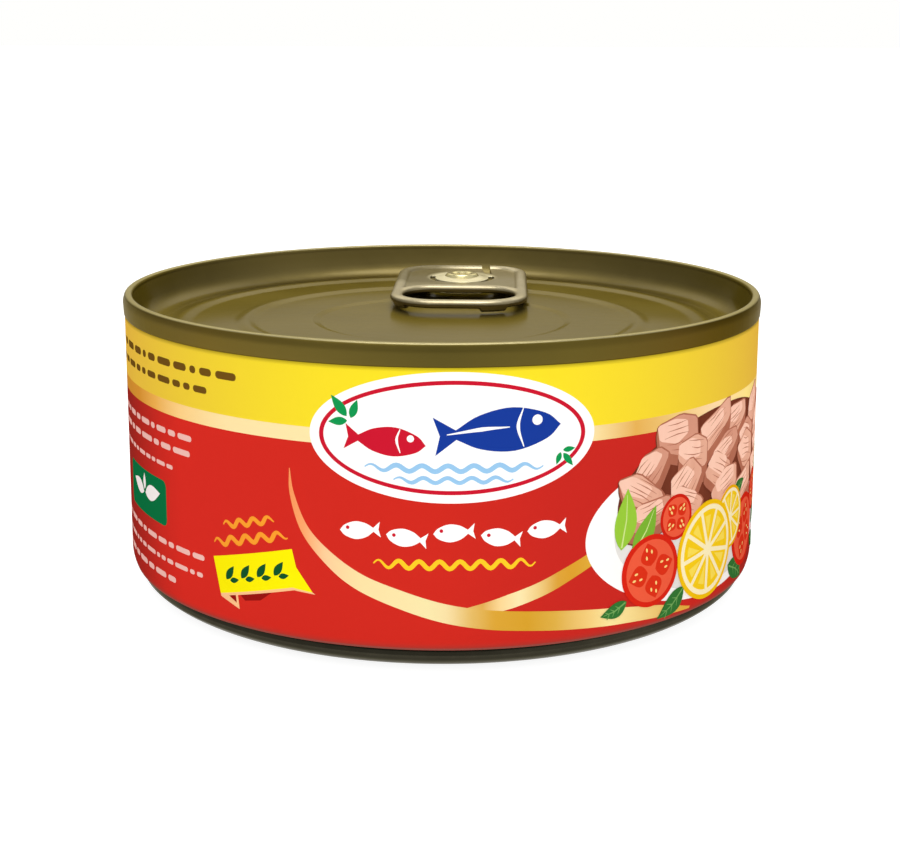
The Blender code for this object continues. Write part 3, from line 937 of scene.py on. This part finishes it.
lid_corners = [(0, CENTRE_PANEL, 0), (CENTRE_STEP - 0.5, CENTRE_PANEL, 0.7), (CENTRE_STEP + 0.5, PANEL, 0.7)]
for radius, half, rise, bend in ((27.3, 1.4, 0.42, 2.2), (36.2, 1.5, 0.52, 2.0)):
    lid_corners += [(radius - half, PANEL, 2.5), (radius, PANEL + rise, bend), (radius + half, PANEL, 2.5)]
lid_corners += [(SCORE - 0.07, PANEL, 0.02), (SCORE, PANEL - 0.03, 0.02), (SCORE + 0.07, PANEL, 0.02)]
lid_corners += [(CHUCK_FOOT, PANEL, 2.9), (SEAM_INSIDE - 0.05, RIM - 0.65, 0.8), (SEAM_INSIDE, RIM, 0.5)]
lid_corners += [(SEAM_RADIUS - 0.29, RIM, 0.5), (SEAM_RADIUS + 0.012, RIM - 0.95, 1.4)]
lid_corners += [(SEAM_RADIUS - 0.09, SEAM_FOOT, 0.28), (SEAM_INSIDE - 0.4, SEAM_FOOT, 0)]
lid_corners += [(SEAM_INSIDE - 0.8, PANEL + 0.9, 0), (CHUCK_FOOT - 0.35, PANEL - 0.2 - SHEET, 0)]
lid_corners += [(CHUCK_FOOT - 1.35, PANEL - 0.2 - SHEET, 0), (SCORE + 0.28, PANEL - SHEET, 0)]
lid_corners += [(CENTRE_STEP + 0.4, PANEL - SHEET, 0), (CENTRE_STEP - 0.4, CENTRE_PANEL - SHEET, 0)]
lid_corners += [(0, CENTRE_PANEL - SHEET, 0)]
lid = turned("lid_end", bent(lid_corners))
lid.data.materials.append(lacquer("lid_lacquer", (115, 102, 58), (93, 81, 44), 0.34))
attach(lid, "root")
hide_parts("lid")

# The ring-pull tab
# A steel lever stamped from thicker strip: its rim is curled under all round, a finger ring is
# open at one end, and a lanced tongue in the web is clamped by the lid's rivet.
RIVET_PLACE = (3.1, 26.5)
SWIVEL = radians(-2.4)
LIFT = radians(1.4)
TAB_HALF_WIDTH = 10.1
TAB_FRONT = 22.2
TAB_NOSE = 9.2
TAB_CURL = 0.95
CURL_HEIGHT = 1.3
TAB_FLOOR = PANEL + 0.4 + TAB_FRONT * tan(LIFT)
TAB_MIDDLE = TAB_FLOOR + CURL_HEIGHT / 2
WEB_TOP = TAB_FLOOR + CURL_HEIGHT - 0.45
WEB_THICKNESS = 0.45
RING_HALF_WIDTH = 9.05
LANCE_OUTSIDE = 5.0
LANCE_INSIDE = 4.2
COINED_RADIUS = 3.9
REMESH_STEP = 0.14
OBLONG_STEPS = 10


def arc(x, y, radius, start, sweep, steps):
    """Places along an arc about a middle, its angles in degrees."""
    angles = [radians(start + sweep * k / steps) for k in range(steps + 1)]
    return [(x + radius * cos(angle), y + radius * sin(angle)) for angle in angles]


def oblong(half_width, front, back, front_bend, back_bend):
    """A round-cornered outline, anticlockwise from its front left corner."""
    places = []
    corners = ((-half_width, front, 1, 1, front_bend, 180), (half_width, front, -1, 1, front_bend, 270))
    corners += ((half_width, back, -1, -1, back_bend, 0), (-half_width, back, 1, -1, back_bend, 90))
    for x, y, inx, iny, bend, start in corners:
        places += arc(x + inx * bend, y + iny * bend, bend, start, 90, OBLONG_STEPS)
    return places


def apply_modifier(piece, kind, **settings):
    bpy.context.view_layer.objects.active = piece
    modifier = piece.modifiers.new(kind.lower(), kind)
    for name, value in settings.items():
        setattr(modifier, name, value)
    bpy.ops.object.modifier_apply(modifier=modifier.name)


rim_line = oblong(TAB_HALF_WIDTH - TAB_CURL, TAB_CURL - TAB_FRONT, TAB_NOSE - TAB_CURL, 5.9, 4.7)
rim = curve_mesh("tab_rim", [rim_line], bevel=TAB_CURL)
hole_line = oblong(RING_HALF_WIDTH, -19.6, -9.0, 4.0, 5.2)
hole_back = hole_line[2 * (OBLONG_STEPS + 1):]
back_bar = curve_mesh("tab_bar", [hole_back], closed=False, bevel=TAB_CURL * 0.92)
slit = arc(0, 0, LANCE_OUTSIDE, 165, 210, 24) + arc(0, 0, LANCE_INSIDE, 375, -210, 24)
web_line = oblong(9.2, -9.6, 8.2, 3.0, 4.4)
web = curve_mesh("tab_web", [web_line, slit], depth=WEB_THICKNESS / 2, fill="BOTH")
for part in (rim, back_bar):
    part.scale.z = CURL_HEIGHT / (2 * TAB_CURL)
web.location.z = (WEB_TOP - WEB_THICKNESS / 2 - TAB_MIDDLE) * MM
curl_ends = []
for first, last, drop, thick in ((1, 6, 0.42, 0.66), (11, 16, 0.34, 0.78)):
    line = [(x, y, -drop) for x, y in rim_line[first:last]]
    curl_ends.append(curve_mesh("tab_curl_end", [line], closed=False, bevel=thick))
bpy.ops.object.select_all(action="DESELECT")
bpy.ops.mesh.primitive_uv_sphere_add(segments=48, ring_count=24, radius=COINED_RADIUS * MM)
coined = bpy.context.object
coined.location.z = web.location.z
coined.scale.z = 0.17
tab = joined("ring_pull", [rim, back_bar, web, coined, *curl_ends])
bpy.ops.object.transform_apply()
apply_modifier(tab, "REMESH", mode="VOXEL", voxel_size=REMESH_STEP * MM)
nick_line = ribbon([(4.1, 3.4), (3.75, 6.4), (3.45, 10.4)], [1.0, 1.2, 1.4])
nick = curve_mesh("tab_nick", [nick_line], depth=2.0, fill="BOTH")
apply_modifier(tab, "BOOLEAN", operation="DIFFERENCE", object=nick, solver="EXACT")
bpy.data.objects.remove(nick)
apply_modifier(tab, "SMOOTH", factor=0.5, iterations=4)
tab.matrix_world = (
    Matrix.Translation(Vector((*RIVET_PLACE, TAB_MIDDLE)) * MM)
    @ Matrix.Rotation(SWIVEL, 4, "Z")
    @ Matrix.Rotation(LIFT, 4, "X")
)
settle(tab, sharp=60)


def tab_steel(name):
    """Bright strip steel under a thin gold lacquer, with painted shade in the web, a painted dark reflection
    at the nose's left, and a painted highlight on the web round the rivet."""
    tint = (0.7, 0.64, 0.5, 1)
    finish = Finish(name, Metallic=1.0, Coat_Weight=0.1, Coat_Roughness=0.1, Specular_Tint=tint)
    grain = finish.mottle(900, 3, (6, 1, 1))
    cloud = finish.mottle(260, 3)
    colour = finish.mixed(cloud, ink(180, 170, 144), ink(150, 139, 108))
    across = finish.place("X") - RIVET_PLACE[0]
    along = finish.place("Y") - RIVET_PLACE[1]
    level = finish.place("Z") - TAB_MIDDLE - along * tan(LIFT)
    # Painted shade where the steel lies below the curl's top, as in the web.
    web_recess_shade = level.rise(0.45, 0.25)
    colour = finish.mixed(web_recess_shade * 0.7, colour, ink(118, 107, 76))
    # Painted dark reflection on the nose's left part; the same mask also roughens it.
    left_nose_dark_reflection = across.rise(1, -4) * along.rise(-8, -4)
    colour = finish.mixed(left_nose_dark_reflection * 0.75, colour, ink(96, 86, 54))
    # Painted highlight on the web round the rivet.
    web_highlight_round_rivet = ((across * across + along * along) ** 0.5).rise(5.6, 4.35)
    colour = finish.mixed(web_highlight_round_rivet * 0.8, colour, ink(214, 205, 170))
    rough = grain * 0.08 + cloud * 0.12 + left_nose_dark_reflection * 0.3 + 0.25
    finish.varies(Base_Color=colour, Roughness=rough, Normal=finish.bump(grain, 0.004))
    return finish.material


tab.data.materials.append(tab_steel("tab_steel"))
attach(tab, "root")
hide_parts("pull_tab")

# The rivet
# A bubble drawn up out of the lid's own sheet, pushed through the tab's web and flattened over it,
# with a shallow dimple in its head.
HEAD_FOOT = WEB_TOP + 0.02
HEAD_TOP = HEAD_FOOT + 0.66
DIMPLE = HEAD_FOOT + 0.42
SHANK = 1.6
BOSS_TOP = PANEL + 0.7
BOSS_FOOT = PANEL - 0.1
rivet_corners = [(0, DIMPLE, 0), (1.2, DIMPLE, 0.3), (SHANK, HEAD_TOP, 0.3), (2.3, HEAD_TOP, 0.3)]
rivet_corners += [(2.8, HEAD_FOOT, 0.12), (SHANK, HEAD_FOOT, 0), (SHANK, BOSS_TOP, 0)]
rivet_corners += [(3.2, BOSS_TOP, 0.4), (5.6, BOSS_FOOT, 0), (0, BOSS_FOOT, 0)]
rivet = turned("lid_rivet", bent(rivet_corners), 96)
rivet.location = Vector((*RIVET_PLACE, 0)) * MM
settle(rivet)
# The rivet's lacquer is painted far paler than the lid's: a painted highlight on the rivet.
rivet.data.materials.append(lacquer("rivet_lacquer_painted_highlight", (214, 204, 160), (176, 164, 114), 0.12))
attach(rivet, "root")
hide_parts("lid")

# The studio
# A pale floor that glows evenly, a soft grey sky that is brightest overhead, one soft lamp in front,
# and the camera at the photograph's viewing angle.
SKY_CAP = 5.2
LAMP_PLACE = (-0.25, -0.75, 0.95)
LAMP_AIM = (0, 0, 0.02)
LAMP_SIZE = (0.7, 0.4)
LAMP_GLOW = 1.6
bpy.ops.object.select_all(action="DESELECT")
bpy.ops.mesh.primitive_plane_add(size=30.0)
floor = bpy.context.object
floor.name = "floor"
paper = Finish("floor_paper", Roughness=0.9, Specular_IOR_Level=0.1, Emission_Strength=0.9,
               Emission_Color=(1, 1, 1, 1))
paper.varies(Base_Color=paper.mixed(paper.mottle(30, 2) * 0.2, ink(150, 150, 149), ink(146, 146, 145)))
floor.data.materials.append(paper.material)

world = bpy.data.worlds.new("studio")
bpy.context.scene.world = world
world.use_nodes = True
sky = Graph(world.node_tree)
look = sky.node("ShaderNodeTexCoord", output="Generated")
beside, ahead, upwards = [sky.node("ShaderNodeSeparateXYZ", None, {0: look}, axis) for axis in "XYZ"]


def grey(level):
    return (level, level, level * 0.985, 1)


def sky_ramp(*stops):
    """Greys from level with the can to overhead, where every ramp ends in the same bright cap."""
    overhead = ((0.96, SKY_CAP), (1.0, SKY_CAP))
    return sky.ramp(upwards, [(place, grey(level)) for place, level in stops + overhead])


back_sky = sky_ramp((0.0, 1.0), (0.05, 1.0), (0.12, 0.92), (0.34, 0.9), (0.46, 2.0), (0.72, 2.0), (0.8, 0.6),
                    (0.91, 0.6))
front_sky = sky_ramp((0.0, 0.9), (0.08, 0.62), (0.3, 0.55), (0.5, 0.62), (0.75, 0.9), (0.91, 0.9))
side_sky = sky_ramp((0.0, 1.0), (0.05, 0.8), (0.12, 0.45), (0.5, 0.5), (0.75, 0.8), (0.91, 0.8))
beside_amount = beside.maths("ABSOLUTE", beside)
behind = sky.mixed((beside_amount * 3 - 1.2).held(), back_sky, side_sky)
facing = sky.mixed((beside * 1.2 - 0.2).held(), front_sky, grey(1.1))
backdrop = sky.mixed((0.5 - ahead * 2).held(), behind, facing)
background = world.node_tree.nodes["Background"]
sky.feed(background.inputs["Color"], backdrop)
background.inputs["Strength"].default_value = 1.0

bpy.ops.object.light_add(type="AREA", location=LAMP_PLACE)
lamp = bpy.context.object
lamp.name = "front_light"
lamp.data.shape = "RECTANGLE"
lamp.data.size, lamp.data.size_y = LAMP_SIZE
lamp.data.energy = LAMP_GLOW * pi * LAMP_SIZE[0] * LAMP_SIZE[1]
aim = Vector(LAMP_AIM) - Vector(LAMP_PLACE)
lamp.rotation_euler = aim.to_track_quat("-Z", "Y").to_euler()

SENSOR_WIDTH = 36
LENS_PIXELS = 1561.5
PICTURE = (900, 867)
PICTURE_MIDDLE = (441.94, 335.0)
CAMERA_BACK = 215.07
CAMERA_HEIGHT = 73.13
CAMERA_DIP = radians(10.706)
CAMERA_ROLL = 0.0030
bpy.ops.object.camera_add()
camera = bpy.context.object
camera.name = "camera"
camera.data.sensor_width = SENSOR_WIDTH
camera.data.lens = SENSOR_WIDTH * LENS_PIXELS / PICTURE[0]
camera.data.shift_x = (PICTURE[0] / 2 - PICTURE_MIDDLE[0]) / PICTURE[0]
camera.data.shift_y = (PICTURE_MIDDLE[1] - PICTURE[1] / 2) / PICTURE[0]
camera.data.clip_start = 0.01
camera.matrix_world = (
    Matrix.Translation((0, -CAMERA_BACK * MM, CAMERA_HEIGHT * MM))
    @ Matrix.Rotation(pi / 2 - CAMERA_DIP, 4, "X")
    @ Matrix.Rotation(CAMERA_ROLL, 4, "Z")
)
bpy.context.scene.camera = camera
bpy.context.scene.view_settings.view_transform = "Standard"

bpy.context.view_layer.update()
